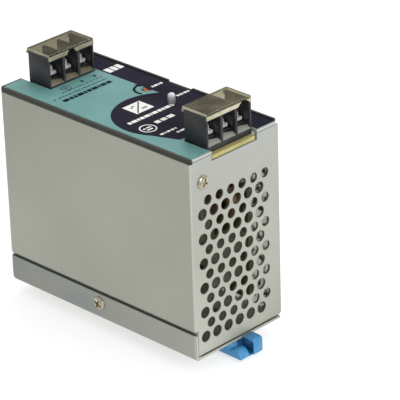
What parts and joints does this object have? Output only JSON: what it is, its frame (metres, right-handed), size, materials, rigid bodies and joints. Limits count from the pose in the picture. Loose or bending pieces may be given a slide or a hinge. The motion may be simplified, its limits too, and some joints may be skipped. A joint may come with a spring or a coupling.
{
  "type": "DIN rail power supply",
  "caption": "Metal cased AC/DC power supply that hooks onto a 35 mm rail, with perforated ends, covered screw terminals, an output trimmer and a status lamp.",
  "frame": {"origin": "on the mounting rail's centre line, half way along the part's width, in the plane of the rail's front lips, which is the case's back face", "axes": "+X along the rail; +Y up when mounted, away from the end with the latch; +Z out of the rail, towards the label face"},
  "size_m": [0.0514, 0.1149, 0.1068],
  "materials": {
    "case_metal": "satin sheet, lightly brushed",
    "zinc_steel": "zinc plated with a faint yellow passivation",
    "label_teal": "printed satin film",
    "block_black": "moulded, satin",
    "clear_cover": "clear moulded plastic with a smoky tint",
    "latch_blue": "moulded, glossy",
    "board_yellow": "bare laminate",
    "board_green": "solder mask",
    "ferrite": "sintered, matt",
    "winding_tape": "polyester tape",
    "copper": "enamelled copper wire",
    "capacitor_sleeve": "shrink sleeve",
    "heat_sink": "as rolled",
    "device_black": "moulded epoxy",
    "filter_box": "moulded box",
    "ceramic_blue": "dipped coating",
    "thermistor": "dipped coating",
    "fuse_glass": "clear tube",
    "trimmer_blue": "moulded",
    "trimmer_brass": "turned, plain",
    "led_clear": "clear epoxy lens",
    "insulation": "fish paper sheet",
    "nylon": "moulded nylon"
  },
  "bodies": {
    "supply": {"board_link": "device_black", "board_standoff_1": "nylon", "board_standoff_2": "nylon", "board_standoff_3": "nylon", "board_standoff_4": "nylon", "bridge_rectifier": "device_black", "bulk_capacitor": "capacitor_sleeve", "case_wrap": "case_metal", "chassis": "case_metal", "common_mode_choke": "copper", "filter_capacitor": "filter_box", "front_label": "label_teal", "guide_rivet_1": "zinc_steel", "guide_rivet_2": "zinc_steel", "hook_rivet_1": "zinc_steel", "hook_rivet_2": "zinc_steel", "inlet_fuse": "fuse_glass", "input_block": "block_black", "inrush_thermistor": "thermistor", "insulation_sheet": "insulation", "latch_guide": "zinc_steel", "latch_spring": "zinc_steel", "left_flange_screw": "zinc_steel", "lower_end_screw": "zinc_steel", "main_board": "board_green", "output_block": "block_black", "output_capacitor_1": "capacitor_sleeve", "output_capacitor_2": "capacitor_sleeve", "output_inductor": "copper", "output_rectifier": "device_black", "primary_heat_sink": "heat_sink", "rail_hook": "zinc_steel", "right_side_screw": "zinc_steel", "secondary_heat_sink": "heat_sink", "status_led": "led_clear", "suppression_capacitor": "ceramic_blue", "switching_transistor": "device_black", "terminal_board": "board_yellow", "transformer_core": "ferrite", "transformer_winding": "winding_tape", "trimmer_body": "trimmer_blue", "upper_end_screw": "zinc_steel"},
    "input_clamp_1": {"input_clamp_1": "zinc_steel"},
    "input_clamp_2": {"input_clamp_2": "zinc_steel"},
    "input_clamp_3": {"input_clamp_3": "zinc_steel"},
    "input_cover": {"input_cover": "clear_cover"},
    "input_screw_1": {"input_screw_1": "zinc_steel"},
    "input_screw_2": {"input_screw_2": "zinc_steel"},
    "input_screw_3": {"input_screw_3": "zinc_steel"},
    "output_clamp_1": {"output_clamp_1": "zinc_steel"},
    "output_clamp_2": {"output_clamp_2": "zinc_steel"},
    "output_clamp_3": {"output_clamp_3": "zinc_steel"},
    "output_cover": {"output_cover": "clear_cover"},
    "output_screw_1": {"output_screw_1": "zinc_steel"},
    "output_screw_2": {"output_screw_2": "zinc_steel"},
    "output_screw_3": {"output_screw_3": "zinc_steel"},
    "rail_latch": {"rail_latch": "latch_blue"},
    "trimmer_rotor": {"trimmer_rotor": "trimmer_brass"}
  },
  "joints": [
    {"name": "rail_latch_slide", "type": "slide", "parent": "supply", "child": "rail_latch", "axis": [0, -1, 0], "range_m": [0, 0.005], "stiffness_N_per_m": 800, "springref_m": -0.003, "deforming": ["latch_spring"]},
    {"name": "input_cover_hinge", "type": "hinge", "parent": "supply", "child": "input_cover", "pos_m": [0, 0.0506, 0.0989], "axis": [-1, 0, 0], "range_deg": [0, 110]},
    {"name": "output_cover_hinge", "type": "hinge", "parent": "supply", "child": "output_cover", "pos_m": [0, -0.0367, 0.0989], "axis": [-1, 0, 0], "range_deg": [0, 110]},
    {"name": "input_clamp_1_lift", "type": "slide", "parent": "supply", "child": "input_clamp_1", "axis": [0, 0, 1], "range_m": [0, 0.0024]},
    {"name": "input_screw_1_turn", "type": "hinge", "parent": "input_clamp_1", "child": "input_screw_1", "pos_m": [-0.0081, 0.0448, 0.09095], "axis": [0, 0, 1], "range_deg": [0, 1440]},
    {"name": "input_clamp_2_lift", "type": "slide", "parent": "supply", "child": "input_clamp_2", "axis": [0, 0, 1], "range_m": [0, 0.0024]},
    {"name": "input_screw_2_turn", "type": "hinge", "parent": "input_clamp_2", "child": "input_screw_2", "pos_m": [0, 0.0448, 0.09095], "axis": [0, 0, 1], "range_deg": [0, 1440]},
    {"name": "input_clamp_3_lift", "type": "slide", "parent": "supply", "child": "input_clamp_3", "axis": [0, 0, 1], "range_m": [0, 0.0024]},
    {"name": "input_screw_3_turn", "type": "hinge", "parent": "input_clamp_3", "child": "input_screw_3", "pos_m": [0.0081, 0.0448, 0.09095], "axis": [0, 0, 1], "range_deg": [0, 1440]},
    {"name": "output_clamp_1_lift", "type": "slide", "parent": "supply", "child": "output_clamp_1", "axis": [0, 0, 1], "range_m": [0, 0.0024]},
    {"name": "output_screw_1_turn", "type": "hinge", "parent": "output_clamp_1", "child": "output_screw_1", "pos_m": [-0.0081, -0.0425, 0.09095], "axis": [0, 0, 1], "range_deg": [0, 1440]},
    {"name": "output_clamp_2_lift", "type": "slide", "parent": "supply", "child": "output_clamp_2", "axis": [0, 0, 1], "range_m": [0, 0.0024]},
    {"name": "output_screw_2_turn", "type": "hinge", "parent": "output_clamp_2", "child": "output_screw_2", "pos_m": [0, -0.0425, 0.09095], "axis": [0, 0, 1], "range_deg": [0, 1440]},
    {"name": "output_clamp_3_lift", "type": "slide", "parent": "supply", "child": "output_clamp_3", "axis": [0, 0, 1], "range_m": [0, 0.0024]},
    {"name": "output_screw_3_turn", "type": "hinge", "parent": "output_clamp_3", "child": "output_screw_3", "pos_m": [0.0081, -0.0425, 0.09095], "axis": [0, 0, 1], "range_deg": [0, 1440]},
    {"name": "trimmer_rotor_turn", "type": "hinge", "parent": "supply", "child": "trimmer_rotor", "pos_m": [0.0124, 0.008, 0.0777], "axis": [0, 0, 1], "range_deg": [-135, 135]}
  ],
  "couplings": [
    {"joint": "input_screw_1_turn", "follows": "input_clamp_1_lift", "rad_per_m": 10472},
    {"joint": "input_screw_2_turn", "follows": "input_clamp_2_lift", "rad_per_m": 10472},
    {"joint": "input_screw_3_turn", "follows": "input_clamp_3_lift", "rad_per_m": 10472},
    {"joint": "output_screw_1_turn", "follows": "output_clamp_1_lift", "rad_per_m": 10472},
    {"joint": "output_screw_2_turn", "follows": "output_clamp_2_lift", "rad_per_m": 10472},
    {"joint": "output_screw_3_turn", "follows": "output_clamp_3_lift", "rad_per_m": 10472}
  ]
}
